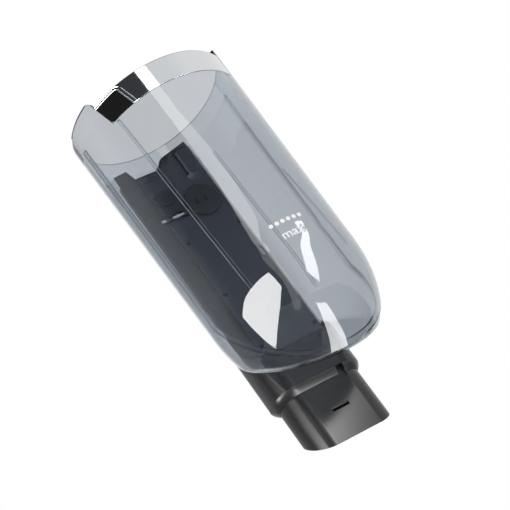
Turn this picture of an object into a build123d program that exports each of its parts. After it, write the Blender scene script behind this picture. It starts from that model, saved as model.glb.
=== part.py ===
from build123d import *
import os
from math import cos, pi, radians, sin, sqrt, tan

# Dust bin of a cordless stick vacuum cleaner, in millimetres.
# Z runs up the bin's axis with the mouth on top, the fill mark faces -Y and the
# intake duct runs down the back at +Y. Z = 0 is the top edge of the front trim band.

# Smoked shell
shell_d = 115.0          # across the front shell at the top edge of the band
draft = 1.2              # degrees that the wall leans in towards the nose
wall = 2.6               # front shell
rear_wall = 2.2          # rear shell
seam_ledge = 0.8         # the rear shell lies this far inside the front shell's face
straight_len = 152.0     # from the band's top edge to the start of the nose
nose_len = 72.0          # length of the rounded nose
nose_power = 2.25        # fullness of the nose, where 2 is an ellipse
ear_rise = 7.0           # height of the rim beside and behind the band
ear_round = 4.5          # corner of the rim beside the band
notch_from = -57.0       # degrees from the front to the left end of the lowered rim, at the band's top
notch_to = 49.0          # and to its right end
end_lean = 14.0          # degrees that its left end, the pad and the pad's beads lean

# Seam between the two shells
seam_y = 2.4             # where the seam's straight legs lie
seam_bend = 160.0        # below this the seam leans forward
seam_lean = 24.4         # degrees of that lean
lip_len = 3.0            # tongue of the rear shell inside the front shell
lip_t = 1.0
lip_root = 1.6           # how far the tongue is rooted behind the seam
slip = 0.15              # clearance of parts that slide together and are bonded

# Sloping underside of the rear shell
under_y = -22.0          # where the slope starts, seen from the side
under_rise = 2.0         # height of that point above the nose's tip
under_slope = 38.7       # degrees
under_round = 8.0        # edge between the slope and the wall

# Seat of the filter unit inside the mouth
seat_wall = 2.5          # left round the seat at the rim
seat_depth = 6.0         # below the band's top edge
seat_lead = 1.0          # chamfer at the seat's foot

# Plated trim band round the front of the mouth
band_h = 18.4
band_t = 1.0
band_flange = 1.2        # return over the shell's rim
band_gap = 0.1
notch_fit = 0.2          # degrees of room at each end of the band
pad_end = 0.1            # degrees from the notch's end to the black pad
pad_wide = 18.8          # degrees
pad_top = 2.6            # chrome left above the pad
pad_sunk = 0.3           # the pad's face lies below the band's
pad_round = 2.6
bead_w = 0.8             # raised line of chrome round the pad
bead_h = 0.35
bead_pitch = 2.4

rib_root = 0.3           # the ribs are rooted this deep in the wall

# Long ribs inside the front shell: degrees from the front at the top and the foot,
# top and foot below the band's edge, width, height
ribs = {
    "left": (-49.0, -44.2, 18.8, 167.0, 1.9, 1.8),
    "middle": (-10.5, -7.4, 77.0, 200.0, 1.5, 1.1),
    "right": (26.0, 36.0, 104.0, 166.0, 1.0, 0.8),
}

# Intake duct: a channel up the back, its neck below the shell, and the spigot
duct_proud = 3.5         # the spine's back stands this far out of the bin's back
duct_wall = 2.0
duct_half = 33.2         # half the width of the neck and the spine
neck_deep = 34.0         # from the spine's back to the neck's front
neck_round = 15.0
channel_half = 22.8      # half the width of the channel's open front
channel_deep = 29.0      # from the spine's back to the face that carries the cover
knee_deep = 15.0         # from the spine's back to where the slanted cheeks end
roof_slope = 26.6        # degrees that the channel's top rises to the back
roof_cap = 0.3           # its highest part lies this far below the seat
spine_z = -18.0          # top of the spine behind the cheeks
spine_in = 4.0           # the spine's top starts this far in front of the cheeks' ends
spine_slope = 20.0       # degrees, falling to the back
duct_gap = 0.3           # between the channel and the shell round it

# Top edge of the channel's front, from the left: cheek, notch, ramp and raised corner
notch_left = -24.5
cheek_z = -13.7
notch_foot = (-23.0, -1.6)
notch_z = -22.3
ramp = (4.2, -17.4)
raised = (8.0, -12.9)
peak = (23.8, -8.6)

neck_rise = 18.0         # the neck ends this far above the nose's tip
neck_plate = 2.5         # flange at the top of the neck
gasket_t = 1.0
gasket_in = 0.4          # the gasket's edge lies inside the neck's by this

spigot_half = 29.6
spigot_deep = 27.0       # from its back to its flat face
spigot_step = 3.8        # its back lies in front of the spine's back by this
spigot_round = 13.0
spigot_len = 45.5        # from the neck's end to the mouth's lowest point
mouth_slope = 38.0       # degrees, rising to the back
collar_h = 5.0
collar_t = 0.6           # the collar's foot stands proud of the spigot by this
slot_w = 12.6
slot_h = 2.3
slot_drop = 24.2         # catch slot's middle below the neck's end
key_left = 11.5          # small keyway at the top of the spigot's face
key_right = 17.0
key_len = 7.5
key_deep = 0.8

# Cover plate of the channel, with the outlet and its flap
cover_t = 2.0
cover_rise = 16.0        # the plate's foot above the neck's end
cover_slot = -60.0       # the shell is open in front of the plate below this
window_left = -21.4
window_right = -8.8
window_top = -43.0
window_foot = -60.6
window_round = 1.5
seal_t = 1.0
seal_w = 1.4
seal_in = 0.6            # the seal laps over the window's edge by this
flap_t = 1.2
flap_gap = 0.3
flap_lap = 0.9           # the flap covers the window's edge by this much
flap_rib = 0.8           # height of the stiffening rib
flap_rib_w = 1.0
flap_rib_in = 2.3        # from the flap's side to the rib's end
pin_d = 2.0
pin_z = -62.8
barrel_wall = 0.9
pin_fit = 0.06           # running clearance, on the radius
pin_hold = 0.01          # clearance in the lugs, which hold the pin
pin_end = 0.4            # the pin stands out of the right lug by this
pin_tail = 3.0           # and out of the left one by this
lug_t = 1.8
lug_play = 0.3
spring_wire = 0.4
spring_turns = 4
spring_pitch = 0.54
spring_fit = 0.1         # between the coil and the pin
knuckle = 2.6            # length of the flap's barrel at each side, with the spring between

# Round service plug with two finger ribs
plug_x = 7.6
plug_z = -58.0
plug_d = 25.0
plug_face = 1.4          # thickness outside the cover
plug_neck_d = 21.0
plug_fit = 0.2
plug_edge = 0.5          # chamfer
finger_shift = -1.4      # the ribs' middle from the plug's
finger_pitch = 6.6
finger_w = 1.1
finger_len = 4.2
finger_h = 1.2
plug_seal_t = 0.6
plug_seal_w = 1.2

# Hood that turns the air at the top right of the cover
hood_left = 8.4
hood_side = 1.0          # from the hood's right side to the channel's corner
hood_top = -13.2
hood_foot = -41.0
hood_out = 3.2
hood_wall = 1.4
hood_round = 5.0
hood_tip_round = 0.6
hood_mouth_in = 4.4      # from the hood's ends to the mouth in its left side

# Grip dimples and sunk panel on the cover
dimple_rows = 2
dimple_cols = 9
dimple_pitch = 2.2
dimple_d = 1.2
dimple_deep = 0.4
dimple_side = 1.6        # first dimple from the notch's side
dimple_drop = 2.5        # first row below the notch
panel_right = -1.6
panel_deep = 0.4
panel_h = 10.0

# Fasteners
screw_angle = 21.0       # degrees from the back to each screw that holds the spine's top
screw_z = -13.0
tab_r = 3.2              # tabs of the duct inside the rear shell, for those screws
tab_t = 2.5
tab_gap = 0.1
tab_foot = -20.4
screw_d = 2.2
screw_len = 5.2
screw_head_d = 4.0
screw_head_h = 1.0
screw_fit = 0.1
screw_seat = 0.05        # room under the head's flat face on the round shell
screw_edge = 0.45        # chamfer of the head, as a share of its height
cross_reach = 0.62       # cross recess, as shares of the head's width
cross_w = 0.14
cover_screw_rises = (18.0, 62.0, 106.0)    # above the cover's foot
cover_screw_d = 1.6
cover_head_d = 3.0
cover_head_h = 0.9
cover_screw_side = 2.6   # from the channel's corner
cover_boss_d = 4.4
cover_screw_len = 6.0

big = 90.0               # reach of the cutting bodies past the bin
past = 1.0               # cuts run this far past a face
top = ear_rise
low = -straight_len - nose_len
under_z = low + under_rise
neck_end = low + neck_rise
mouth_z = neck_end - spigot_len
slot_z = neck_end - slot_drop
cover_foot = neck_end + cover_rise
seat_r = shell_d / 2 - seat_wall
duct_back = shell_d / 2 + duct_proud
neck_front = duct_back - neck_deep
channel_front = duct_back - channel_deep
knee_y = duct_back - knee_deep
spigot_back = duct_back - spigot_step
spigot_front = spigot_back - spigot_deep
cover_face = channel_front - cover_t
shell_skin = seam_ledge + rear_wall
cover_screw_x = channel_half - cover_screw_side
hood_right = channel_half - hood_side
pad_from = notch_from + pad_end
pad_to = pad_from + pad_wide
seam_run = tan(radians(seam_lean))
slope_run = tan(radians(under_slope))


def radius_at(z):
    """Outside radius of the front shell's straight wall at a height."""
    return shell_d / 2 + z * tan(radians(draft))


def cup(inset, upper):
    """The bin's closed outer form drawn in by inset, a body of revolution."""
    r_end = radius_at(-straight_len) - inset
    depth = nose_len - inset
    steps = 9
    angles = [i * pi / 2 / steps for i in range(1, steps)]
    nose = [(r_end * cos(a) ** (2 / nose_power),
             -straight_len - depth * sin(a) ** (2 / nose_power)) for a in angles]
    start = (r_end, -straight_len)
    tip = (0, -straight_len - depth)
    curve = Spline(start, *nose, tip, tangents=[(-tan(radians(draft)), -1), (-1, 0)])
    rim = (radius_at(upper) - inset, upper)
    outline = [Line((0, upper), rim), Line(rim, start), curve, Line(tip, (0, upper))]
    return revolve(Plane.XZ * make_face(outline), Axis.Z)


def side_prism(points):
    """A prism across the whole bin from an outline in the side view (y, z)."""
    return extrude(Plane.YZ * make_face(Polyline(*points, close=True)), big, both=True)


def before_seam(shift=0.0):
    """Everything in front of the seam, with the seam moved back by shift."""
    y = seam_y + shift
    foot = low - big
    return side_prism([(-big, big), (y, big), (y, -seam_bend),
                       (y - seam_run * (-seam_bend - foot), foot), (-3 * big, foot), (-3 * big, big)])


def over_slope(offset=0.0):
    """Everything above the rear shell's sloping underside, raised by offset."""
    lift = offset / cos(radians(under_slope))

    def slope(y):
        return under_z + slope_run * (y - under_y) + lift
    return side_prism([(-big, slope(-big)), (big, slope(big)), (big, 2 * big), (-big, 2 * big)])


def sector(start, end, z_low, z_high):
    """A wedge round the bin's axis between two angles from the front."""
    count = 6
    angles = [radians(start + (end - start) * i / count) for i in range(count + 1)]
    reach = 2 * big
    fan = [(reach * sin(a), -reach * cos(a)) for a in angles]
    return extrude(Plane.XY.offset(z_low) * make_face(Polyline((0, 0), *fan, close=True)), z_high - z_low)


def wall_ring(out, inner, z_low, z_high):
    """A tapering ring that follows the front shell's face, out and inner below it."""
    points = [(radius_at(z_low) - out, z_low), (radius_at(z_high) - out, z_high),
              (radius_at(z_high) - inner, z_high), (radius_at(z_low) - inner, z_low)]
    return revolve(Plane.XZ * make_face(Polyline(*points, close=True)), Axis.Z)


def seat_bore():
    """The round seat of the filter unit, cut down from the rim, with a chamfer at its foot."""
    foot = radius_at(-seat_depth - seat_lead) - seam_ledge - rear_wall
    bore = upright(seat_r, -seat_depth, big)
    return bore + Pos(0, 0, -seat_depth - seat_lead) * Cone(
        foot, seat_r, seat_lead, align=(Align.CENTER, Align.CENTER, Align.MIN))


def upright(radius, z_low, z_high):
    """A cylinder round the bin's axis between two heights."""
    return Pos(0, 0, z_low) * Cylinder(radius, z_high - z_low, align=(Align.CENTER, Align.CENTER, Align.MIN))


def rod_back(x, y, z, radius, length):
    """A cylinder that runs back (+Y) from a point, or forward where its length is negative."""
    turn = Rot(-90, 0, 0) if length > 0 else Rot(90, 0, 0)
    return Pos(x, y, z) * turn * Cylinder(radius, abs(length), align=(Align.CENTER, Align.CENTER, Align.MIN))


def leaning(angle, side):
    """Half of space beside a leaning radial plane at an angle, on its right (1) or left (-1)."""
    a, lean = radians(angle), radians(end_lean)
    outward = Vector(sin(a), -cos(a), 0)
    facing = Vector(cos(a) * cos(lean), sin(a) * cos(lean), sin(lean)) * side
    half = Box(4 * big, 4 * big, 2 * big, align=(Align.CENTER, Align.CENTER, Align.MIN))
    return Plane(origin=outward * (shell_d / 2), x_dir=outward, z_dir=facing) * half


def on_back(shape, side):
    """Turns a shape from the back (+Y) to the left or right screw."""
    return Rot(0, 0, side * screw_angle) * shape


def make_front_shell():
    """Front half of the smoked bin, with its nose, ribs and the band's rebate."""
    body = (cup(0, top) - cup(wall, top)) & before_seam()
    for upper_a, lower_a, upper_z, lower_z, width, height in ribs.values():
        r = radius_at(-(upper_z + lower_z) / 2) - wall
        head = Vector(r * sin(radians(upper_a)), -r * cos(radians(upper_a)), -upper_z)
        foot = Vector(r * sin(radians(lower_a)), -r * cos(radians(lower_a)), -lower_z)
        outward = Vector(head.X + foot.X, head.Y + foot.Y, 0).normalized()
        blade = Plane(origin=(head + foot) / 2, x_dir=outward, z_dir=foot - head)
        blank = blade * Box(4 * wall, width, (foot - head).length)
        body += blank & (cup(wall - rib_root, 0) - cup(wall + height, 0))
    start, end = notch_from - notch_fit, notch_to + notch_fit
    body -= sector(-90, end, -band_flange, big) & leaning(start, 1)
    rebate = wall_ring(-past, band_t + band_gap, -band_h - band_gap, past)
    body -= rebate & sector(-90, end, -band_h - band_gap, past) & leaning(start, 1)
    body -= seat_bore()
    rim = body.faces().filter_by(Plane.XY).filter_by(lambda f: abs(f.center().Z - top) < slip)
    ends = rim.edges().filter_by(GeomType.LINE).sort_by(Axis.Y)[:2]
    return fillet(ends, ear_round)


def make_rear_shell(channel_hole):
    """Rear half of the smoked bin, inside the front one by the seam's ledge."""
    def soft(inset, offset, radius):
        form = cup(inset, top) & over_slope(offset)
        facing = Vector(0, sin(radians(under_slope)), -cos(radians(under_slope)))
        slope = form.faces().sort_by(lambda f: f.normal_at().dot(facing))[-1]
        return fillet(slope.edges(), radius)
    body = soft(seam_ledge, 0, under_round) - soft(shell_skin, rear_wall, under_round - rear_wall)
    body -= before_seam()
    tongue = cup(wall + slip, top) - cup(wall + slip + lip_t, top)
    body += tongue & (before_seam(lip_root) - before_seam(-lip_len))
    for side in (-1, 1):
        body -= on_back(rod_back(0, 0, screw_z, screw_d / 2 + screw_fit, big), side)
    return body - seat_bore() - channel_hole


def make_trim_band():
    """Chrome-plated band: a face, a return over the rim and the beads round the pad."""
    face = wall_ring(0, band_t, -band_h, 0)
    over = revolve(Plane.XZ * make_face(Polyline(
        (seat_r, -band_flange), (seat_r, 0), (radius_at(0) - band_t / 2, 0),
        (radius_at(0) - band_t / 2, -band_flange), close=True)), Axis.Z)
    body = (face + over) & sector(-90, notch_to, -band_h, 0) & leaning(notch_from, 1)
    room = wall_ring(-past, band_t + past, -band_h - past, -pad_top)
    body -= room & sector(-90, 0, -band_h - past, -pad_top) & leaning(pad_to, -1)
    step = bead_pitch / radius_at(0) * 180 / pi
    width = bead_w / radius_at(0) * 180 / pi
    proud = wall_ring(-bead_h, band_t / 2, -band_h, -pad_top + bead_w) & sector(-90, 0, -band_h, 0)
    for start in (pad_to, pad_to + step):
        body += proud & leaning(start, 1) & leaning(start + width, -1)
    top_line = proud & sector(-90, 0, -pad_top, 0) & leaning(notch_from, 1)
    return body + (top_line & leaning(pad_to + width, -1))


def make_catch_pad():
    """Black pad let into the left end of the band, with one rounded corner."""
    pad = wall_ring(pad_sunk, band_t, -band_h, -pad_top - band_gap) & sector(-90, 0, -band_h, 0)
    pad &= leaning(pad_from, 1) & leaning(pad_to - band_gap, -1)
    corner = pad.edges().filter_by(lambda e: e.length < 2 * band_t).sort_by(Axis.Z)[:2].sort_by(Axis.X)[0]
    return fillet(corner, pad_round)


def neck_section(inset=0.0):
    """Rounded outline of the neck, drawn in by inset."""
    depth = duct_back - neck_front
    return Pos(0, neck_front + depth / 2) * RectangleRounded(
        2 * (duct_half - inset), depth - 2 * inset, neck_round - inset)


def channel_section(inset=0.0):
    """Outline of the channel: the neck's back with slanted cheeks in front."""
    lean = (duct_half - channel_half) / (knee_y - channel_front)
    side = inset * sqrt(1 + lean * lean)
    front = channel_front + inset
    front_half = channel_half - side + inset * lean
    knee_half = duct_half + big * lean - side
    cheeks = make_face(Polyline((-front_half, front), (front_half, front), (knee_half, knee_y + big),
                                (-knee_half, knee_y + big), close=True))
    return neck_section(inset) & cheeks


def spigot_section(inset=0.0):
    """Rounded outline of the spigot, drawn in by inset."""
    depth = spigot_back - spigot_front
    return Pos(0, spigot_front + depth / 2) * RectangleRounded(
        2 * (spigot_half - inset), depth - 2 * inset, spigot_round - inset)


def under_roof(drop=0.0):
    """Everything below the channel's top: a stepped roof in front and a lower spine behind."""
    run = tan(radians(roof_slope))
    fall = tan(radians(spine_slope))
    climb = (peak[1] - raised[1]) / (peak[0] - raised[0])
    outline = make_face(Polyline(
        (-big, cheek_z), (notch_left, cheek_z), (notch_foot[0], notch_z), (notch_foot[1], notch_z),
        ramp, raised, (big, raised[1] + climb * (big - raised[0])), (big, -4 * big), (-big, -4 * big),
        close=True))
    if drop:
        outline = offset(outline, -drop, kind=Kind.INTERSECTION)
    start = Pos(0, -big, -run * (channel_front + big)) * (Plane.XZ * outline)
    length = knee_y - drop + big
    front = extrude(start, length * sqrt(1 + run * run), dir=(0, 1, run))
    reach = radius_at(spine_z) - shell_skin - 2 * duct_gap - drop
    front &= upright(reach, -4 * big, -seat_depth - seat_lead - roof_cap - drop)
    edge = knee_y - spine_in
    spine = side_prism([(edge, spine_z - drop), (knee_y, spine_z - drop),
                        (big, spine_z - drop - fall * (big - knee_y)), (big, -4 * big), (edge, -4 * big)])
    return front + spine


def prism(section, z_low, z_high):
    return extrude(Plane.XY.offset(z_low) * section, z_high - z_low)


def cover_plate(gap=0.0):
    """The cover's blank, or with a gap the slot that takes it."""
    half = channel_half + gap
    plate = Pos(0, channel_front - cover_t - gap, cover_foot - gap) * Box(
        2 * half, cover_t + gap, big - cover_foot, align=(Align.CENTER, Align.MIN, Align.MIN))
    return plate & under_roof(-gap)


def screw_spots():
    return [(x, cover_foot + rise) for x in (-cover_screw_x, cover_screw_x) for rise in cover_screw_rises]


def make_duct_body():
    """Black moulding: spine with its channel, neck, and the spigot below."""
    below = over_slope(-gasket_t)
    neck_out = prism(neck_section(), neck_end, big) - below
    plate_under = over_slope(-gasket_t - neck_plate)
    neck_in = prism(neck_section(duct_wall), neck_end + duct_wall, big) - plate_under
    channel = prism(channel_section(), low, big) & under_roof() & below
    hollow = prism(channel_section(duct_wall), neck_end + duct_wall, big) & under_roof(duct_wall)
    open_front = Pos(0, channel_front - past, neck_end + duct_wall) * Box(
        2 * (channel_half - duct_wall), duct_wall + 2 * past, big - neck_end,
        align=(Align.CENTER, Align.MIN, Align.MIN))
    spigot = prism(spigot_section(), mouth_z - past, neck_end + duct_wall / 2)
    bore = prism(spigot_section(duct_wall), mouth_z - past, neck_end + duct_wall + past)
    body = neck_out - neck_in + channel + spigot
    body -= hollow
    body -= open_front & under_roof(duct_wall)
    body -= cover_plate(band_gap)
    rise = tan(radians(mouth_slope))
    front_end = (-big, mouth_z - rise * (big + spigot_front))
    back_end = (big, mouth_z + rise * (big - spigot_front))
    body -= bore + side_prism([front_end, back_end, (big, -4 * big), (-big, -4 * big)])
    body -= Pos(0, spigot_front, slot_z) * Box(slot_w, 2.5 * duct_wall, slot_h)
    body -= keyway()
    for side in (-1, 1):
        body += on_back(screw_tab(), side)
    for x, z in screw_spots():
        body += rod_back(x, channel_front, z, cover_boss_d / 2, cover_screw_len + past)
        pilot = cover_screw_d / 2 + screw_fit
        body -= rod_back(x, channel_front - past, z, pilot, cover_screw_len + past)
    return body


def screw_tab():
    """Tab that rises from the spine's top along the inside of the rear shell."""
    tip = screw_z + tab_r
    ring = wall_ring(shell_skin + tab_gap, shell_skin + tab_gap + tab_t, tab_foot, tip)
    blank = rod_back(0, 0, screw_z, tab_r, big)
    blank += Pos(0, 0, tab_foot) * Box(2 * tab_r, big, screw_z - tab_foot,
                                       align=(Align.CENTER, Align.MIN, Align.MIN))
    return (ring & blank) - rod_back(0, 0, screw_z, screw_d / 2 + screw_fit, big)


def keyway():
    """Small recess at the root of the spigot's flat face."""
    return Pos((key_left + key_right) / 2, spigot_front + key_deep, neck_end) * Box(
        key_right - key_left, big, key_len, align=(Align.CENTER, Align.MAX, Align.MAX))


def make_spigot_collar():
    """Soft ring on the spigot's root, chamfered down from the neck."""
    upper = Plane.XY.offset(neck_end) * neck_section()
    lower = Plane.XY.offset(neck_end - collar_h) * spigot_section(-collar_t)
    ring = loft([upper.face(), lower.face()])
    ring -= prism(spigot_section(-band_gap), neck_end - collar_h - past, neck_end + past)
    return ring - keyway()


def make_neck_gasket(channel_hole):
    """Flat rubber gasket between the shell's underside and the neck's flange."""
    sheet = prism(neck_section(gasket_in), low, 0) & over_slope(-gasket_t) - over_slope(0)
    return sheet - channel_hole


def make_cover():
    """Cover plate with the outlet window, hinge lugs, dimples, panel and plug hole."""
    plate = cover_plate()
    wide, tall = window_right - window_left, window_top - window_foot
    mid_x, mid_z = (window_left + window_right) / 2, (window_top + window_foot) / 2
    window = extrude(Plane.XZ * Pos(mid_x, mid_z) * RectangleRounded(wide, tall, window_round), -big)
    plate -= window
    first = notch_z - dimple_drop
    for row in range(dimple_rows):
        for col in range(dimple_cols):
            x = notch_foot[0] + dimple_side + (col + 0.5 * (row % 2)) * dimple_pitch
            z = first - row * dimple_pitch
            plate -= rod_back(x, cover_face - past, z, dimple_d / 2, past + dimple_deep)
    panel_top = first - dimple_rows * dimple_pitch
    plate -= Pos(window_left, cover_face + panel_deep, panel_top) * Box(
        panel_right - window_left, big, panel_h, align=(Align.MIN, Align.MAX, Align.MAX))
    for x in lug_places():
        lug = Pos(x, cover_face, pin_z) * Box(lug_t, cover_face - pin_y(), 2 * lug_radius(),
                                              align=(Align.MIN, Align.MAX, Align.CENTER))
        lug += Pos(x, pin_y(), pin_z) * Rot(0, 90, 0) * Cylinder(
            lug_radius(), lug_t, align=(Align.CENTER, Align.CENTER, Align.MIN))
        plate += lug
    plate -= Pos(mid_x, pin_y(), pin_z) * Rot(0, 90, 0) * Cylinder(pin_d / 2 + pin_hold, 2 * wide)
    plate -= rod_back(plug_x, 0, plug_z, plug_neck_d / 2 + plug_fit, big)
    for x, z in screw_spots():
        plate -= rod_back(x, cover_face - past, z, cover_screw_d / 2 + screw_fit, cover_t + 2 * past)
    return plate


def lug_radius():
    return pin_d / 2 + barrel_wall


def pin_y():
    """The pin lies so that the flap's back clears the seal by the flap's gap."""
    return cover_face - seal_t - flap_gap - flap_t / 2


def lug_places():
    left = window_left - flap_lap - lug_play
    right = window_right + flap_lap + lug_play
    return (left - lug_t, right)


def make_flap():
    """Flap over the outlet, with a barrel in two halves round the pin."""
    left, right = window_left - flap_lap, window_right + flap_lap
    upper = window_top + flap_lap
    mid = (left + right) / 2
    plate = Pos(mid, pin_y(), pin_z) * Box(right - left, flap_t, upper - pin_z,
                                           align=(Align.CENTER, Align.CENTER, Align.MIN))
    plate = fillet(plate.edges().filter_by(Axis.Y).sort_by(Axis.Z)[-2:], window_round)
    rib = Pos(mid, pin_y() - flap_t / 2, (upper + pin_z) / 2) * Box(
        right - left - 2 * flap_rib_in, flap_rib, flap_rib_w, align=(Align.CENTER, Align.MAX, Align.CENTER))
    barrel = Pos(mid, pin_y(), pin_z) * Rot(0, 90, 0) * Cylinder(lug_radius(), right - left)
    flap = plate + rib + barrel
    flap -= Pos(mid, pin_y(), pin_z) * Rot(0, 90, 0) * Cylinder(pin_d / 2 + pin_fit, 2 * (right - left))
    room = pin_d / 2 + spring_fit + 2 * spring_wire
    flap -= Pos(mid, pin_y(), pin_z) * Box(right - left - 2 * knuckle, 4 * room, 2 * room)
    return flap


def make_flap_pin():
    left, right = lug_places()
    return Pos(left - pin_tail, pin_y(), pin_z) * Rot(0, 90, 0) * Cylinder(
        pin_d / 2, right + lug_t + pin_end - left + pin_tail, align=(Align.CENTER, Align.CENTER, Align.MIN))


def make_flap_spring():
    """Coil of a torsion spring on the pin, in the gap of the flap's barrel."""
    r = pin_d / 2 + spring_fit + spring_wire / 2
    run = spring_pitch * spring_turns
    mid = (window_left + window_right) / 2
    path = Helix(spring_pitch, run, r)
    start = Plane(origin=path @ 0, z_dir=path % 0)
    coil = sweep(start * Circle(spring_wire / 2), path=path)
    return Pos(mid - run / 2, pin_y(), pin_z) * Rot(0, 90, 0) * coil


def make_flap_seal():
    """Rubber frame round the outlet, on the cover's face."""
    wide, tall = window_right - window_left, window_top - window_foot
    mid_x, mid_z = (window_left + window_right) / 2, (window_top + window_foot) / 2
    out = seal_w - seal_in
    frame = RectangleRounded(wide + 2 * out, tall + 2 * out, window_round)
    frame -= RectangleRounded(wide - 2 * seal_in, tall - 2 * seal_in, window_round - seal_in)
    ring = extrude(Plane.XZ.offset(-cover_face) * Pos(mid_x, mid_z) * frame, seal_t)
    room = Pos(mid_x, pin_y(), pin_z) * Rot(0, 90, 0) * Cylinder(lug_radius() + flap_gap, 2 * wide)
    return ring - room


def make_plug():
    """Round plug with a flange outside the cover and two finger ribs."""
    under = cover_face - plug_seal_t
    flange = rod_back(plug_x, under, plug_z, plug_d / 2, -plug_face)
    flange = chamfer(flange.edges().filter_by(GeomType.CIRCLE).sort_by(Axis.Y)[0], plug_edge)
    plug = flange + rod_back(plug_x, under, plug_z, plug_neck_d / 2, plug_seal_t + cover_t)
    outer = under - plug_face
    for side in (-1, 1):
        x = plug_x + finger_shift + side * finger_pitch / 2
        plug += Pos(x, outer, plug_z) * Box(finger_w, finger_h, finger_len,
                                            align=(Align.CENTER, Align.MAX, Align.CENTER))
    return plug


def make_plug_seal():
    """Flat ring seal under the plug's flange."""
    inner = plug_neck_d / 2 + plug_fit
    ring = Circle(inner + plug_seal_w) - Circle(inner)
    return Pos(plug_x, 0, plug_z) * extrude(Plane.XZ.offset(-cover_face) * ring, plug_seal_t)


def make_hood():
    """Curved hood on the cover's top right that turns the air."""
    wide, tall = hood_right - hood_left, hood_top - hood_foot
    place = Pos((hood_left + hood_right) / 2, (hood_top + hood_foot) / 2)

    def bulge(inset, reach):
        base = Plane.XZ.offset(-cover_face) * place * RectangleRounded(
            wide - 2 * inset, tall - 2 * inset, hood_round - inset)
        tip = Plane.XZ.offset(reach - cover_face) * place * RectangleRounded(
            wide - 2 * (inset + reach), tall - 2 * (inset + reach),
            max(hood_round - inset - reach, hood_tip_round))
        return loft([base.face(), tip.face()])
    shell = bulge(0, hood_out) - bulge(hood_wall, hood_out - hood_wall)
    mouth = Pos(hood_left, cover_face, (hood_top + hood_foot) / 2) * Box(
        3 * hood_wall, 2 * (hood_out - hood_wall), tall - 2 * hood_mouth_in)
    return shell - mouth


def screw(spot, head_y, length, shank, head, head_h):
    """A pan-head screw whose shank runs forward from the head, or back where length is negative."""
    x, z = spot
    turn = Rot(90, 0, 0) if length > 0 else Rot(-90, 0, 0)
    body = Cylinder(shank / 2, abs(length), align=(Align.CENTER, Align.CENTER, Align.MIN))
    cap = Cylinder(head / 2, head_h, align=(Align.CENTER, Align.CENTER, Align.MAX))
    cap = chamfer(cap.edges().sort_by(Axis.Z)[0], head_h * screw_edge)
    reach, width = head * cross_reach, head * cross_w
    cross = Box(reach, width, head_h) + Box(width, reach, head_h)
    return Pos(x, head_y, z) * turn * (body + cap - Pos(0, 0, -head_h) * cross)


def make_duct_screws():
    head_y = radius_at(screw_z) - seam_ledge + screw_seat
    one = screw((0, screw_z), head_y, screw_len, screw_d, screw_head_d, screw_head_h)
    return Compound([on_back(one, -1), on_back(one, 1)])


def make_cover_screws():
    return Compound([screw(s, cover_face, -cover_screw_len, cover_screw_d, cover_head_d, cover_head_h)
                     for s in screw_spots()])


channel_hole = prism(offset(channel_section(), duct_gap), low, big) & under_roof(-duct_gap)
channel_hole += Pos(0, cover_face - duct_gap, low) * Box(
    2 * (channel_half + duct_gap), cover_t + 3 * past, cover_slot - low,
    align=(Align.CENTER, Align.MIN, Align.MIN))

parts = {
    "front_shell": make_front_shell(),
    "rear_shell": make_rear_shell(channel_hole),
    "trim_band": make_trim_band(),
    "catch_pad": make_catch_pad(),
    "duct_body": make_duct_body(),
    "duct_cover": make_cover(),
    "outlet_hood": make_hood(),
    "outlet_flap": make_flap(),
    "flap_pin": make_flap_pin(),
    "flap_spring": make_flap_spring(),
    "flap_seal": make_flap_seal(),
    "service_plug": make_plug(),
    "plug_seal": make_plug_seal(),
    "neck_gasket": make_neck_gasket(channel_hole),
    "spigot_collar": make_spigot_collar(),
    "duct_screws": make_duct_screws(),
    "cover_screws": make_cover_screws(),
}

os.makedirs("parts", exist_ok=True)
for name, shape in parts.items():
    export_step(shape, f"parts/{name}.step")
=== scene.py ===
"""Clear smoked dust bin of a cordless stick vacuum cleaner, seen from below its nose.

The bin is built up from its moulded shells outwards to the plated band, with the black
intake duct inside it. Lengths are in metres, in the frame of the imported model.
"""
import math

import bmesh
import bpy
import numpy as np
from mathutils import Matrix, Vector


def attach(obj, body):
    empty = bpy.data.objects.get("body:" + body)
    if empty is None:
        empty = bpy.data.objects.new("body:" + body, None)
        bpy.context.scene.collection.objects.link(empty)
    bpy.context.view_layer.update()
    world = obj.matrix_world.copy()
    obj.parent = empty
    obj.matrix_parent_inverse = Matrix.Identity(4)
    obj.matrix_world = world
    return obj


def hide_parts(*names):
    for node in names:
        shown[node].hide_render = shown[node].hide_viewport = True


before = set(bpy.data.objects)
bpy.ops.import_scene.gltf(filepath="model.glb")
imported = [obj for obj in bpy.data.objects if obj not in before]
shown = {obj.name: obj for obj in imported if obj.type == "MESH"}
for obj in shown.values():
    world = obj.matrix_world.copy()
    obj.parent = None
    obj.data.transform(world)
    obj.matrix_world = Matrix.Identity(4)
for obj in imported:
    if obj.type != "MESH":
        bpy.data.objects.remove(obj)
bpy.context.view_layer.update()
MM = 0.001


# The camera looks up at the bin from below its front, with the bin leaning to the left.
# Its distance is long and its lens is narrow, as for a catalogue picture.
VIEW_AZIMUTH = math.radians(-28.146)
VIEW_ELEVATION = math.radians(-24.139)
VIEW_ROLL = math.radians(-36.640)
VIEW_DISTANCE = 1000 * MM
VIEW_SHIFT = (7.588 * MM, -12.226 * MM)
VIEW_HEIGHT = -110 * MM
FOCAL_PIXELS = 1581.471
PICTURE_PIXELS = 510
SENSOR = 36.0

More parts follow.
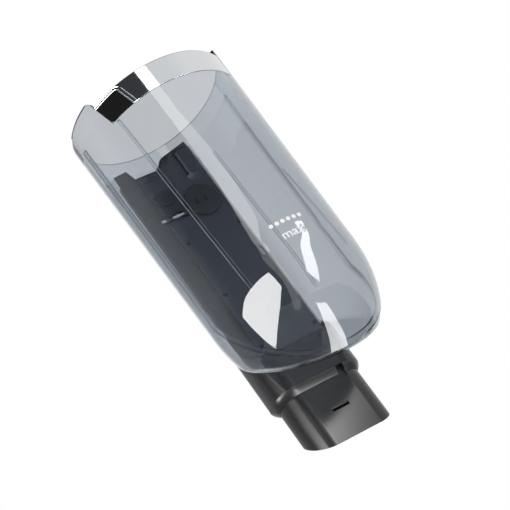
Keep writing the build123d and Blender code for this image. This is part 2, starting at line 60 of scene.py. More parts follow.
view_back = Vector((math.sin(VIEW_AZIMUTH) * math.cos(VIEW_ELEVATION),
                    -math.cos(VIEW_AZIMUTH) * math.cos(VIEW_ELEVATION),
                    math.sin(VIEW_ELEVATION)))
level_right = Vector((math.cos(VIEW_AZIMUTH), math.sin(VIEW_AZIMUTH), 0))
level_up = view_back.cross(level_right)
view_right = level_right * math.cos(VIEW_ROLL) + level_up * math.sin(VIEW_ROLL)
view_up = view_back.cross(view_right)
aim = Vector((0, 0, VIEW_HEIGHT)) + view_right * VIEW_SHIFT[0] + view_up * VIEW_SHIFT[1]

camera = bpy.data.objects.new("camera", bpy.data.cameras.new("camera"))
camera.data.sensor_width = SENSOR
camera.data.lens = FOCAL_PIXELS / PICTURE_PIXELS * SENSOR
camera.matrix_world = Matrix.Translation(aim + view_back * VIEW_DISTANCE) @ Matrix(
    (view_right, view_up, view_back)).transposed().to_4x4()
bpy.context.scene.collection.objects.link(camera)
bpy.context.scene.camera = camera
bpy.context.scene.view_settings.view_transform = "Standard"


# Studio: a pale room behind and below the bin, a dark one at the front left, a pale wall at
# the front right and a dark ceiling. Matt surfaces get one even level; only reflections see
# the room's parts, by a fixed direction in the room.
ROOM_WHITE = "#ffffff"
ROOM_LEFT = "#404246"             # front left
ROOM_RIGHT = "#f2f4f6"            # front right
ROOM_FAR_LEFT = "#cbced3"         # behind, on the left
ROOM_TOP = "#34363a"
ROOM_LIGHT = 0.9                  # level on matt surfaces
ROOM_THROUGH = 0.74               # share of white seen through the clear walls
ROOM_SPLIT = math.radians(-4)     # azimuth where the dark part meets the pale wall
ROOM_BELOW = (0, 0.5, -0.87)      # direction of the white floor, behind and below
FRONT_FROM, FRONT_TO = -0.1, 0.35            # soft borders, as cosines to their directions
SPLIT_FROM, SPLIT_TO = -0.12, 0.12
BELOW_FROM, BELOW_TO = 0.4, 0.65
TOP_FROM, TOP_TO = 0.62, 0.76
COLOURS = {"data_type": "RGBA"}   # settings of the nodes that mix colours, fade and compare
FADE = {"interpolation_type": "SMOOTHSTEP"}
DOT = {"operation": "DOT_PRODUCT"}
LARGER = {"operation": "MAXIMUM"}


def add_node(tree, kind, settings=None, **links):
    """Adds a shader node and sets its attributes and sockets, or links a socket given an output.

    A socket goes by its name, with _ for a space, or by i and its number.
    """
    made = tree.nodes.new(kind)
    for key, value in (settings or {}).items():
        setattr(made, key, value)
    for key, value in links.items():
        numbered = key[0] == "i" and key[1:].isdigit()
        socket = made.inputs[int(key[1:]) if numbered else key.replace("_", " ")]
        if isinstance(value, bpy.types.NodeSocket):
            tree.links.new(value, socket)
        else:
            socket.default_value = value
    return made


def linear(colour):
    """Linear RGBA of an sRGB hex colour.

    A share s becomes s / 12.92 up to 0.04045, and ((s + 0.055) / 1.055) ^ 2.4 above it.
    """
    shares = [int(colour[i:i + 2], 16) / 255 for i in (1, 3, 5)]
    return (*[s / 12.92 if s <= 0.04045 else ((s + 0.055) / 1.055) ** 2.4 for s in shares], 1.0)


world = bpy.data.worlds.new("studio")
bpy.context.scene.world = world
world.use_nodes = True
world.cycles.sampling_method = "NONE"
tree = world.node_tree
tree.nodes.clear()
place = add_node(tree, "ShaderNodeTexCoord")
way = place.outputs["Generated"]
facing = add_node(tree, "ShaderNodeVectorMath", DOT, i0=way, i1=tuple(view_back))
front = add_node(tree, "ShaderNodeMapRange", FADE, Value=facing.outputs["Value"],
                 From_Min=FRONT_FROM, From_Max=FRONT_TO)
across = add_node(tree, "ShaderNodeVectorMath", DOT, i0=way,
                  i1=(math.cos(ROOM_SPLIT), math.sin(ROOM_SPLIT), 0))
right = add_node(tree, "ShaderNodeMapRange", FADE, Value=across.outputs["Value"],
                 From_Min=SPLIT_FROM, From_Max=SPLIT_TO)
far = add_node(tree, "ShaderNodeMix", COLOURS, Factor=right.outputs["Result"],
               i6=linear(ROOM_FAR_LEFT), i7=linear(ROOM_WHITE))
walls = add_node(tree, "ShaderNodeMix", COLOURS, Factor=right.outputs["Result"],
                 i6=linear(ROOM_LEFT), i7=linear(ROOM_RIGHT))
around = add_node(tree, "ShaderNodeMix", COLOURS, Factor=front.outputs["Result"],
                  i6=far.outputs[2], i7=walls.outputs[2])
lower = add_node(tree, "ShaderNodeVectorMath", DOT, i0=way, i1=ROOM_BELOW)
below = add_node(tree, "ShaderNodeMapRange", FADE, Value=lower.outputs["Value"],
                 From_Min=BELOW_FROM, From_Max=BELOW_TO)
grounded = add_node(tree, "ShaderNodeMix", COLOURS, Factor=below.outputs["Result"],
                    i6=around.outputs[2], i7=linear(ROOM_WHITE))
height = add_node(tree, "ShaderNodeSeparateXYZ", Vector=way)
above = add_node(tree, "ShaderNodeMapRange", FADE, Value=height.outputs["Z"],
                 From_Min=TOP_FROM, From_Max=TOP_TO)
room = add_node(tree, "ShaderNodeMix", COLOURS, Factor=above.outputs["Result"],
                i6=grounded.outputs[2], i7=linear(ROOM_TOP))

# A ray that has met a glossy surface sees the room; the camera and the clear walls see white.
path = add_node(tree, "ShaderNodeLightPath")
bounced = add_node(tree, "ShaderNodeMath", LARGER, i0=path.outputs["Glossy Depth"],
                   i1=path.outputs["Is Glossy Ray"])
mirrored = add_node(tree, "ShaderNodeMath", {"operation": "GREATER_THAN"},
                    i0=bounced.outputs["Value"], i1=0.5)
direct = add_node(tree, "ShaderNodeMath", LARGER, i0=path.outputs["Is Camera Ray"],
                  i1=path.outputs["Is Transmission Ray"])
shown_white = add_node(tree, "ShaderNodeMath", LARGER, i0=direct.outputs["Value"],
                       i1=mirrored.outputs["Value"])
colour = add_node(tree, "ShaderNodeMix", COLOURS, Factor=mirrored.outputs["Value"],
                  i6=linear(ROOM_WHITE), i7=room.outputs[2])
behind = add_node(tree, "ShaderNodeMapRange", Value=path.outputs["Is Transmission Ray"],
                  To_Min=1.0, To_Max=ROOM_THROUGH)
strength = add_node(tree, "ShaderNodeMapRange", Value=shown_white.outputs["Value"],
                    To_Min=ROOM_LIGHT, To_Max=behind.outputs["Result"])
light = add_node(tree, "ShaderNodeBackground", Color=colour.outputs[2],
                 Strength=strength.outputs["Result"])
add_node(tree, "ShaderNodeOutputWorld", Surface=light.outputs["Background"])

# Floor of plain matt paper: pale grey without gloss. It lies low enough for a camera that
# looks up at the bin from 40 degrees below.
FLOOR_DROP = 1100 * MM
FLOOR_HALF = 3.0
floor_mesh = bpy.data.meshes.new("floor")
floor_mesh.from_pydata([(x * FLOOR_HALF, y * FLOOR_HALF, -FLOOR_DROP)
                        for x, y in ((-1, -1), (1, -1), (1, 1), (-1, 1))], [], [(0, 1, 2, 3)])
floor = bpy.data.objects.new("floor", floor_mesh)
bpy.context.scene.collection.objects.link(floor)
paper = bpy.data.materials.new("matt_white_paper")
paper.use_nodes = True
shader = paper.node_tree.nodes["Principled BSDF"]
shader.inputs["Base Color"].default_value = linear("#f4f4f4")
shader.inputs["Roughness"].default_value = 0.9
floor_mesh.materials.append(paper)


# Softboxes: white cards round the bin, seen by reflections only, so that they draw the
# highlights of the clear wall and the plated band, and leave the plain light level as it is.
def softbox(name, strength, corners):
    """A lit card between corners in mm, filled with triangles round its middle."""
    corners = np.array(corners, dtype=float) * MM
    count = len(corners)
    mesh = bpy.data.meshes.new(name)
    mesh.from_pydata([*corners.tolist(), corners.mean(0).tolist()], [],
                     [(i, (i + 1) % count, count) for i in range(count)])
    card = bpy.data.objects.new(name, mesh)
    bpy.context.scene.collection.objects.link(card)
    card.visible_camera = card.visible_diffuse = False
    card.visible_transmission = card.visible_shadow = False
    glow = bpy.data.materials.new(name)
    glow.use_nodes = True
    glow.node_tree.nodes.clear()
    lit = add_node(glow.node_tree, "ShaderNodeEmission", Strength=strength)
    add_node(glow.node_tree, "ShaderNodeOutputMaterial", Surface=lit.outputs["Emission"])
    mesh.materials.append(glow)


softbox("softbox_strip", 3.4, [
    (-109, -411, 300), (-109, -411, 178), (-105, -421, 106), (-112, -423, 74), (-124, -423, 42),
    (-178, -406, 14), (-131, -422, 7), (-19, -440, 30), (0, -439, 45), (23, -434, 78),
    (29, -430, 110), (-5, -427, 155), (-5, -424, 178), (-5, -424, 300)])
softbox("softbox_left", 14.5, [
    (-754, -1307, 199), (-723, -1358, 39), (-729, -1370, -176), (-1117, -1017, -523),
    (-1366, -311, -828), (-1334, 184, -926), (-1476, 128, -605), (-1533, 52, 11),
    (-1466, -388, 145), (-1182, -937, 199)])
softbox("softbox_right", 11.0, [
    (249, -357, 15), (303, -309, 14), (240, -379, -40), (131, -441, -258), (65, -465, -169),
    (153, -422, -31)])
softbox("softbox_low", 10.0, [
    (-12, -419, -385), (88, -396, -406), (134, -249, -543), (182, 66, -586), (25, 57, -629),
    (-8, -259, -563)])
softbox("softbox_curve", 1.5, [
    (-143, -420, 7), (-121, -431, -12), (-113, -455, -112), (-118, -454, -222),
    (-145, -420, -330), (-181, -384, -377), (-230, -370, -351), (-199, -416, -272),
    (-179, -437, -149), (-179, -420, -44), (-196, -399, 5)])


# Front and rear shell of clear smoked SAN plastic, injection moulded in a polished mould and
# joined at a seam. The surface is a clean gloss, and the smoke is in the plastic, so that
# edges, ribs and places where two walls lie behind each other look darker.
SMOKE = "#bcc7d2"
SMOKE_DENSITY = 235.0             # per metre: one wall of 2.6 mm passes about three quarters
SAN_IOR = 1.57


def new_material(name):
    """A new material, its node tree and its Principled shader."""
    made = bpy.data.materials.new(name)
    made.use_nodes = True
    return made, made.node_tree, made.node_tree.nodes["Principled BSDF"]


def coat(material, *nodes):
    """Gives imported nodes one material."""
    for node in nodes:
        data = shown[node].data
        data.materials.clear()
        data.materials.append(material)


smoked, tree, shader = new_material("clear_smoked_san_plastic")
shader.inputs["Base Color"].default_value = linear("#ffffff")
shader.inputs["Roughness"].default_value = 0.02
shader.inputs["IOR"].default_value = SAN_IOR
shader.inputs["Transmission Weight"].default_value = 1.0
end = tree.nodes["Material Output"]
inside = add_node(tree, "ShaderNodeVolumeAbsorption", Color=linear(SMOKE), Density=SMOKE_DENSITY)
tree.links.new(inside.outputs["Volume"], end.inputs["Volume"])
path = add_node(tree, "ShaderNodeLightPath")
through = add_node(tree, "ShaderNodeBsdfTransparent")
both = add_node(tree, "ShaderNodeMixShader", i0=path.outputs["Is Shadow Ray"],
                i1=shader.outputs["BSDF"], i2=through.outputs["BSDF"])
tree.links.new(both.outputs["Shader"], end.inputs["Surface"])

RIM_RADIUS = 57.5 * MM
DRAFT = math.radians(1.2)
NOSE_START = 152 * MM
NOSE_LENGTH = 72 * MM
NOSE_POWER = 2.25
SEAT_RADIUS = 55 * MM
SEAT_FOOT = -6 * MM
ON_FORM = 0.08 * MM               # a packed point this near to a form lies on it
SAME_POINT = 7                    # decimals of a metre that tell two points apart
TURN = math.radians(1.0)          # longest step round the axis
SHORT_EDGE = 0.7 * MM             # an edge under this is never halved
CUTS = 2                          # times that every long edge is halved
CREASE = math.radians(28)         # steeper edges stay sharp
ALONG_FORM = 0.95                 # cosine between a face that lies on a form and its direction
FAR_FROM_FORM = 3 * ON_FORM       # a new point beyond this stays where it is
FRONT_FORMS = (0.0, 1.1, 2.6, 3.4, 3.7, 4.4)     # mm in from the bin's face
REAR_FORMS = (0.8, 2.75, 3.0, 3.75)


def form_gap(points, inset):
    """Distance and direction outwards of points from the bin's form drawn in by inset.

    The form is a taper, radius = rim + height x tan(draft) - inset, and below the start of the
    nose a superellipse, (radius / end) ^ power + (depth / length) ^ power = 1.
    """
    x, y, z = points.T
    radius = np.maximum(np.hypot(x, y), 1e-9)
    end = RIM_RADIUS - NOSE_START * math.tan(DRAFT) - inset
    length = NOSE_LENGTH - inset
    depth = np.maximum(-(z + NOSE_START), 1e-9)
    size = ((radius / end) ** NOSE_POWER + (depth / length) ** NOSE_POWER) ** (1 / NOSE_POWER)
    by_radius = (radius / end / size) ** (NOSE_POWER - 1) / end
    by_depth = (depth / length / size) ** (NOSE_POWER - 1) / length
    steep = np.hypot(by_radius, by_depth)
    nose = z < -NOSE_START
    beyond = (radius - RIM_RADIUS - z * math.tan(DRAFT) + inset) * math.cos(DRAFT)
    gap = np.where(nose, (size - 1) / steep, beyond)
    flat = np.where(nose, by_radius / steep, math.cos(DRAFT)) / radius
    rise = np.where(nose, -by_depth / steep, -math.sin(DRAFT))
    return gap, np.stack([x * flat, y * flat, rise], 1)


def cut_edges(points, forms, triangles):
    """Halves edges that lie on one form and turn far round the axis, and cuts their triangles.

    A triangle with one halved edge becomes two, with two halved edges three and with three four.
    """
    ends = np.sort(np.stack([triangles, np.roll(triangles, -1, 1)], -1), -1)
    edges = ends[..., 0] * len(points) + ends[..., 1]
    _, first, which = np.unique(edges, return_index=True, return_inverse=True)
    pairs = ends.reshape(-1, 2)[first]
    a, b = points[pairs[:, 0]], points[pairs[:, 1]]
    across = a[:, 0] * b[:, 1] - a[:, 1] * b[:, 0]
    turn = np.abs(np.arctan2(across, (a[:, :2] * b[:, :2]).sum(1)))
    chord = np.hypot(*(a - b)[:, :2].T)
    same = (forms[pairs[:, 0]] == forms[pairs[:, 1]]) & (forms[pairs[:, 0]] >= 0)
    cut = same & (turn > TURN) & (chord > SHORT_EDGE)
    new = np.where(cut, len(points) + np.cumsum(cut) - 1, -1)[which.reshape(triangles.shape)]
    points = np.concatenate([points, (a[cut] + b[cut]) / 2])
    forms = np.concatenate([forms, forms[pairs[cut, 0]]])
    count = (new >= 0).sum(1)
    kept = [triangles[count == 0]]
    t, m = triangles[count == 3], new[count == 3]
    kept += [np.stack(c, 1) for c in ((t[:, 0], m[:, 0], m[:, 2]), (m[:, 0], t[:, 1], m[:, 1]),
                                      (m[:, 2], m[:, 1], t[:, 2]), (m[:, 0], m[:, 1], m[:, 2]))]
    t, m = triangles[count == 1], new[count == 1]
    turned = (np.argmax(m >= 0, 1)[:, None] + np.arange(3)) % 3
    t, m = np.take_along_axis(t, turned, 1), np.take_along_axis(m, turned, 1)
    kept += [np.stack(c, 1) for c in ((t[:, 0], m[:, 0], t[:, 2]), (m[:, 0], t[:, 1], t[:, 2]))]
    t, m = triangles[count == 2], new[count == 2]
    turned = (np.argmax(m < 0, 1)[:, None] + np.arange(3)) % 3
    t, m = np.take_along_axis(t, turned, 1), np.take_along_axis(m, turned, 1)
    kept += [np.stack(c, 1) for c in ((t[:, 2], m[:, 2], m[:, 1]), (t[:, 0], t[:, 1], m[:, 1]),
                                      (t[:, 0], m[:, 1], m[:, 2]))]
    return points, forms, np.concatenate(kept)


def smooth_shell(node, insets):
    """A packed shell cut finer, with its points put back on their forms and their normals.

    insets are the forms' distances in mm in from the bin's face.
    """
    source = shown[node].data
    raw = np.empty(len(source.vertices) * 3)
    source.vertices.foreach_get("co", raw)
    corners = np.empty(len(source.loops), dtype=int)
    source.loops.foreach_get("vertex_index", corners)
    raw = raw.reshape(-1, 3).round(SAME_POINT)
    points, merged = np.unique(raw, axis=0, return_inverse=True)
    triangles = merged.ravel()[corners].reshape(-1, 3)
    insets = [inset * MM for inset in insets]
    gaps = np.abs([form_gap(points, inset)[0] for inset in insets])
    forms = np.where(gaps.min(0) < ON_FORM, gaps.argmin(0), -1)
    on_seat = np.abs(np.hypot(*points[:, :2].T) - SEAT_RADIUS) < ON_FORM / 2
    forms[on_seat & (points[:, 2] > SEAT_FOOT - ON_FORM)] = -1
    for _ in range(CUTS):
        points, forms, triangles = cut_edges(points, forms, triangles)
        for form, inset in enumerate(insets):
            on = forms == form
            gap, out = form_gap(points[on], inset)
            near = np.abs(gap) < FAR_FROM_FORM
            points[on] -= np.where(near, gap, 0)[:, None] * out
            forms[np.flatnonzero(on)[~near]] = -1
    a, b, c = (points[triangles[:, i]] for i in range(3))
    face = np.cross(b - a, c - a)
    face /= np.maximum(np.linalg.norm(face, axis=1), 1e-20)[:, None]
    mesh = bpy.data.meshes.new(node + "_clear")
    mesh.from_pydata(points.tolist(), [], triangles.tolist())
    mesh.polygons.foreach_set("use_smooth", [True] * len(triangles))
    mesh.set_sharp_from_angle(angle=CREASE)
    normals = np.empty(len(triangles) * 9, dtype=np.float32)
    mesh.corner_normals.foreach_get("vector", normals)
    normals = normals.reshape(-1, 3, 3)
    for form, inset in enumerate(insets):
        out = form_gap(points, inset)[1][triangles]
        along = (out.mean(1) * face).sum(1)
        flush = (forms[triangles] == form).all(1) & (np.abs(along) > ALONG_FORM)
        normals[flush] = out[flush] * np.sign(along[flush])[:, None, None]
    mesh.normals_split_custom_set(normals.reshape(-1, 3).tolist())
    mesh.materials.append(smoked)
    made = bpy.data.objects.new(node + "_clear", mesh)
    bpy.context.scene.collection.objects.link(made)
    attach(made, "bin")
    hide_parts(node)


smooth_shell("front_shell", FRONT_FORMS)
smooth_shell("rear_shell", REAR_FORMS)


# Fill mark: six dots and the word max, pad printed in white ink on the front of the bin.
# The ink lies on the wall in a thin layer, follows its curve and looks matt beside the gloss.
DOT_ANGLES = (-10.6, 11.1)        # degrees from the front, first and last dot
DOT_COUNT = 6
DOT_HEIGHT = -140.4 * MM
DOT_RADIUS = 1.45 * MM
WORD_ANGLE = 0.1                  # degrees, middle of the word
WORD_FOOT = -152.3 * MM
WORD_WIDE = 15.6 * MM
WORD_TALL = 4.1 * MM
WORD_BOLD = 0.012                 # what the letters' strokes grow by, in letter heights
INK = 0.05 * MM
DOME_FALL = 0.8                   # share of the ink's height that is gone at a dot's rim


def on_wall(along, height, out):
    """Points on the tapering wall: along is the arc from the front, out the way above the face."""
    radius = RIM_RADIUS + height * math.tan(DRAFT)
    angle = along / radius
    return np.stack([(radius + out) * np.sin(angle), -(radius + out) * np.cos(angle), height], -1)


def dot_row(rings=6, spokes=20):
    """Low domes in a row, grids of rings and spokes whose height falls as the fourth power."""
    share, turn = np.meshgrid(np.linspace(0.0, 1.0, rings + 1)[1:],
                              np.arange(spokes) * 2 * np.pi / spokes, indexing="ij")
    x = np.concatenate([[0.0], (DOT_RADIUS * share * np.cos(turn)).ravel()])
    z = np.concatenate([[0.0], (DOT_RADIUS * share * np.sin(turn)).ravel()])
    out = np.concatenate([[INK], (INK * (1 - DOME_FALL * share ** 4)).ravel()])
    radius = RIM_RADIUS + DOT_HEIGHT * math.tan(DRAFT)
    middles = np.radians(np.linspace(*DOT_ANGLES, DOT_COUNT)) * radius
    points = np.concatenate([on_wall(x + m, DOT_HEIGHT + z, out) for m in middles])
    i = np.arange(spokes)
    fan = np.stack([np.zeros_like(i), 1 + i, 1 + (i + 1) % spokes], 1)
    ring = np.arange(rings - 1)[:, None]
    a, b = 1 + ring * spokes + i, 1 + ring * spokes + (i + 1) % spokes
    band = np.stack([a, a + spokes, b + spokes, b], -1).reshape(-1, 4)
    size = 1 + rings * spokes
    return points, [face for k in range(DOT_COUNT)
                    for face in (*(fan + k * size).tolist(), *(band + k * size).tolist())]


def add_piece(name, points, faces, material, body, smooth=True):
    """A new mesh piece that rides on a body."""
    mesh = bpy.data.meshes.new(name)
    mesh.from_pydata(np.asarray(points).tolist(), [], faces)
    mesh.polygons.foreach_set("use_smooth", [smooth] * len(mesh.polygons))
    mesh.materials.append(material)
    made = bpy.data.objects.new(name, mesh)
    bpy.context.scene.collection.objects.link(made)
    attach(made, body)
    return made


# Printing ink: plain white, half matt, with a pigment mottle of 0.4 mm.
ink, tree, shader = new_material("white_printing_ink")
where = add_node(tree, "ShaderNodeTexCoord")
mottle = add_node(tree, "ShaderNodeTexNoise", Vector=where.outputs["Object"], Scale=2500.0,
                  Detail=2.0)
tone = add_node(tree, "ShaderNodeMix", COLOURS, Factor=mottle.outputs["Fac"],
                i6=linear("#f2f3f4"), i7=linear("#ffffff"))
tree.links.new(tone.outputs[2], shader.inputs["Base Color"])
shader.inputs["Roughness"].default_value = 0.45

add_piece("fill_mark_dots", *dot_row(), ink, "bin")

word = bpy.data.curves.new("fill_mark_word", "FONT")
word.body = "max"
word.align_x = "CENTER"
word.resolution_u = 6
word.offset = WORD_BOLD
flat = bpy.data.objects.new("word_curve", word)
bpy.context.scene.collection.objects.link(flat)
drawn = flat.evaluated_get(bpy.context.evaluated_depsgraph_get())
letters = bpy.data.meshes.new_from_object(drawn)
bpy.data.objects.remove(flat)
xyz = np.empty(len(letters.vertices) * 3)
letters.vertices.foreach_get("co", xyz)
xyz = xyz.reshape(-1, 3)
xyz[:, 0] -= (xyz[:, 0].max() + xyz[:, 0].min()) / 2
xyz[:, 1] -= xyz[:, 1].min()
radius = RIM_RADIUS + WORD_FOOT * math.tan(DRAFT)
along = xyz[:, 0] * WORD_WIDE / np.ptp(xyz[:, 0]) + math.radians(WORD_ANGLE) * radius
up = WORD_FOOT + xyz[:, 1] * WORD_TALL / np.ptp(xyz[:, 1])
add_piece("fill_mark_word", on_wall(along, up, np.full(len(up), INK)),
          [tuple(p.vertices) for p in letters.polygons], ink, "bin", smooth=False)
bpy.data.meshes.remove(letters)


# Trim band of bright chrome plate over moulded ABS, snapped over the lowered rim: a face with
# a rounded top edge, a return over the rim and two raised lines that turn round the pad's
# corner. The plate is a mirror that keeps the plastic's slight waviness.
BAND_FOOT = -18.4                 # heights and depths of the band in mm
BAND_INNER = 1.0                  # below the face
BAND_FLANGE = -1.2
BAND_SEAT = 2.5                   # from the face to the seat of the filter unit
NOTCH_FROM = math.radians(-57.0)
NOTCH_TO = math.radians(49.0)
PAD_TO = math.radians(-38.1)
END_LEAN = math.radians(14.0)
PAD_TOP = -2.6
UNDER_BAND = 0.02                 # radians that the part above the pad runs into the band
BEAD_HALF = 0.4                   # half the width of a raised line
BEAD_PROUD = 0.3
BEAD_PITCH = 2.4
BEAD_RISE = 0.35                  # from the band's foot to the lines' foot
BEAD_STOP = 0.012                 # radians from the band's left end to the lines' end
OUTER_BEAD_TOP = -0.65
INNER_TURN, OUTER_TURN = 1.7, 3.4            # where the lines start to turn before their corner
UP_STEPS, BEND_STEPS, LEFT_STEPS, BEAD_SIDES = 40, 14, 30, 14
FACE_STEPS, PAD_STEPS = 100, 26              # along the band, beside and above the pad
BAND_CREASE = 35                  # degrees
ROUNDED_TOP = [(0.0, -0.8), (0.0, -0.55), (0.04, -0.36), (0.14, -0.18), (0.3, -0.05),
               (0.55, 0.0), (1.2, 0.0), (BAND_SEAT - 0.15, 0.0), (BAND_SEAT, -0.15),
               (BAND_SEAT, BAND_FLANGE + 0.15), (BAND_SEAT - 0.15, BAND_FLANGE),
               (BAND_INNER, BAND_FLANGE)]
BAND_FACE = [(BAND_INNER, BAND_FOOT), (0.12, BAND_FOOT), (0.03, BAND_FOOT + 0.04),
             (0.0, BAND_FOOT + 0.12), (0.0, BAND_FOOT + 0.25), (0.0, -14.0), (0.0, -9.0),
             (0.0, -4.0), *ROUNDED_TOP]
OVER_PAD = [(BAND_INNER, PAD_TOP), (0.12, PAD_TOP), (0.0, PAD_TOP + 0.1), (0.0, PAD_TOP + 0.2),
            *ROUNDED_TOP]


def skin(rings):
    """A closed tube through rings of points: four-sided faces, and a flat face at each end."""
    count, size = rings.shape[:2]
    row, i = np.arange(count - 1)[:, None] * size, np.arange(size)
    j = (i + 1) % size
    sides = np.stack([row + i, row + j, row + size + j, row + size + i], -1).reshape(-1, 4)
    ends = [i[::-1].tolist(), ((count - 1) * size + i).tolist()]
    return rings.reshape(-1, 3), [*sides.tolist(), *ends]


def lean_line(angle, height):
    """Angle of a leaning end at a height: sin(turn) = -height x tan(lean) / radius of the wall."""
    wall = RIM_RADIUS + height * math.tan(DRAFT)
    return angle + np.arcsin(-height * math.tan(END_LEAN) / wall)


def band_run(profile, left, right, steps):
    """A profile carried round the axis: radius = rim + height x tan(draft) - depth, both in mm.

    It runs from a leaning end, whose angle changes with the height, to an upright one.
    """
    depth, height = np.array(profile).T * MM
    left, right = lean_line(left, height), np.broadcast_to(right, height.shape)
    angle = left + np.linspace(0, 1, steps)[:, None] * (right - left)
    radius = RIM_RADIUS + height * math.tan(DRAFT) - depth
    height = np.broadcast_to(height, angle.shape)
    return skin(np.stack([radius * np.sin(angle), -radius * np.cos(angle), height], -1))


def bead(shift, top, turn):
    """A raised line: an ellipse carried up a leaning line, round a corner and left over the pad.

    The corner is a curve of the second order, a (1 - t)^2 + 2 corner t (1 - t) + b t^2.
    """
    height = np.linspace(BAND_FOOT + BEAD_RISE, top, UP_STEPS) * MM
    angle = lean_line(PAD_TO + (shift + BEAD_HALF) * MM / RIM_RADIUS, height)
    up = np.stack([angle * (RIM_RADIUS + height * math.tan(DRAFT)), height], 1)
    corner = up[-1]
    lean = up[-1] - up[0]
    lean /= np.linalg.norm(lean)
    up = up[np.linalg.norm(up - corner, axis=1) > turn * MM]
    share = np.linspace(0, 1, BEND_STEPS)[:, None]
    a, b = corner - lean * turn * MM, corner + np.array([-turn * MM, 0])
    bend = a * (1 - share) ** 2 + 2 * corner * share * (1 - share) + b * share ** 2
    stop = (NOTCH_FROM + BEAD_STOP) * RIM_RADIUS
    left = np.stack([np.linspace(b[0], stop, LEFT_STEPS), np.full(LEFT_STEPS, b[1])], 1)[1:]
    line = np.concatenate([up, bend, left])
    ahead = np.gradient(line, axis=0)
    ahead /= np.linalg.norm(ahead, axis=1)[:, None]
    t = np.arange(BEAD_SIDES) * 2 * np.pi / BEAD_SIDES
    along = line[:, :1] - ahead[:, 1:] * BEAD_HALF * MM * np.cos(t)
    rise = line[:, 1:] + ahead[:, :1] * BEAD_HALF * MM * np.cos(t)
    return skin(on_wall(along, rise, BEAD_PROUD * MM * np.sin(t) + 0 * along))


def one_mesh(parts):
    """Joins points and faces of several closed parts."""
    first = np.cumsum([0] + [len(points) for points, _ in parts])
    faces = [[k + start for k in face]
             for start, (_, part) in zip(first.tolist(), parts) for face in part]
    return np.concatenate([points for points, _ in parts]), faces


def finish_closed(made, angle, *nodes):
    """Turns a closed mesh's faces outwards, keeps its steep edges sharp and replaces nodes."""
    work = bmesh.new()
    work.from_mesh(made.data)
    bmesh.ops.recalc_face_normals(work, faces=work.faces)
    work.to_mesh(made.data)
    work.free()
    made.data.set_sharp_from_angle(angle=math.radians(angle))
    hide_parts(*nodes)


# Chrome plate: a bright mirror, dulled a little in patches of 5.5 mm. Waves of 11 mm from the
# moulding under it bend its reflections.
chrome, tree, shader = new_material("bright_chrome_plate")
shader.inputs["Base Color"].default_value = linear("#d2d4d6")
shader.inputs["Metallic"].default_value = 1.0
where = add_node(tree, "ShaderNodeTexCoord")
haze = add_node(tree, "ShaderNodeTexNoise", Vector=where.outputs["Object"], Scale=180.0,
                Detail=3.0)
gloss = add_node(tree, "ShaderNodeMapRange", Value=haze.outputs["Fac"], To_Min=0.03, To_Max=0.1)
tree.links.new(gloss.outputs["Result"], shader.inputs["Roughness"])
wave = add_node(tree, "ShaderNodeTexNoise", Vector=where.outputs["Object"], Scale=90.0, Detail=1.0)
peel = add_node(tree, "ShaderNodeBump", Height=wave.outputs["Fac"], Strength=0.1,
                Distance=0.4 * MM)
tree.links.new(peel.outputs["Normal"], shader.inputs["Normal"])

band = add_piece("trim_band_plated", *one_mesh([
    band_run(BAND_FACE, PAD_TO, NOTCH_TO, FACE_STEPS),
    band_run(OVER_PAD, NOTCH_FROM, PAD_TO + UNDER_BAND, PAD_STEPS),
    bead(0.0, PAD_TOP + BEAD_HALF, INNER_TURN),
    bead(BEAD_PITCH, OUTER_BEAD_TOP, OUTER_TURN)]), chrome, "bin")
finish_closed(band, BAND_CREASE, "trim_band")


# Pad at the band's left end: smooth black ABS, moulded and let in just below the plated face.
# A grain of 0.55 mm softens its reflections a little, so it looks deep black beside the mirror.
pad, tree, shader = new_material("smooth_black_abs")
shader.inputs["Base Color"].default_value = linear("#121213")
shader.inputs["Specular IOR Level"].default_value = 0.35
where = add_node(tree, "ShaderNodeTexCoord")
grain = add_node(tree, "ShaderNodeTexNoise", Vector=where.outputs["Object"], Scale=1800.0,
                 Detail=3.0)
satin = add_node(tree, "ShaderNodeMapRange", Value=grain.outputs["Fac"], To_Min=0.18, To_Max=0.26)
tree.links.new(satin.outputs["Result"], shader.inputs["Roughness"])
relief = add_node(tree, "ShaderNodeBump", Height=grain.outputs["Fac"], Strength=0.08,
                  Distance=0.05 * MM)
tree.links.new(relief.outputs["Normal"], shader.inputs["Normal"])
coat(pad, "catch_pad")


# Intake duct, neck and spigot: one moulding of black ABS with a satin surface. Its grain is
# drawn 0.8 mm wide so that it shows as a faint mottle, and its gloss drifts over 22 mm, as
# the melt flowed. Every edge keeps the mould's small rounding and catches a thin light.
MOULD_EDGE = 0.35 * MM            # rounding that the mould leaves on every edge
satin_black, tree, shader = new_material("satin_black_abs")
where = add_node(tree, "ShaderNodeTexCoord")
grain = add_node(tree, "ShaderNodeTexNoise", Vector=where.outputs["Object"], Scale=1200.0,
                 Detail=2.0)
cloud = add_node(tree, "ShaderNodeTexNoise", Vector=where.outputs["Object"], Scale=45.0,
                 Detail=2.0)
tone = add_node(tree, "ShaderNodeMix", COLOURS, Factor=grain.outputs["Fac"],
                i6=linear("#232323"), i7=linear("#2b2a2a"))
tree.links.new(tone.outputs[2], shader.inputs["Base Color"])
shader.inputs["Specular IOR Level"].default_value = 0.4
satin = add_node(tree, "ShaderNodeMapRange", Value=cloud.outputs["Fac"], To_Min=0.17, To_Max=0.21)
tree.links.new(satin.outputs["Result"], shader.inputs["Roughness"])
edge = add_node(tree, "ShaderNodeBevel", {"samples": 8}, Radius=MOULD_EDGE)
tree.links.new(edge.outputs["Normal"], shader.inputs["Normal"])
coat(satin_black, "duct_body")


# Duct cover, screwed to the duct, and the hood on it: smooth moulded ABS. The round plug is
# pressed into the cover, and the flap swings on its pin: both are of another black ABS.

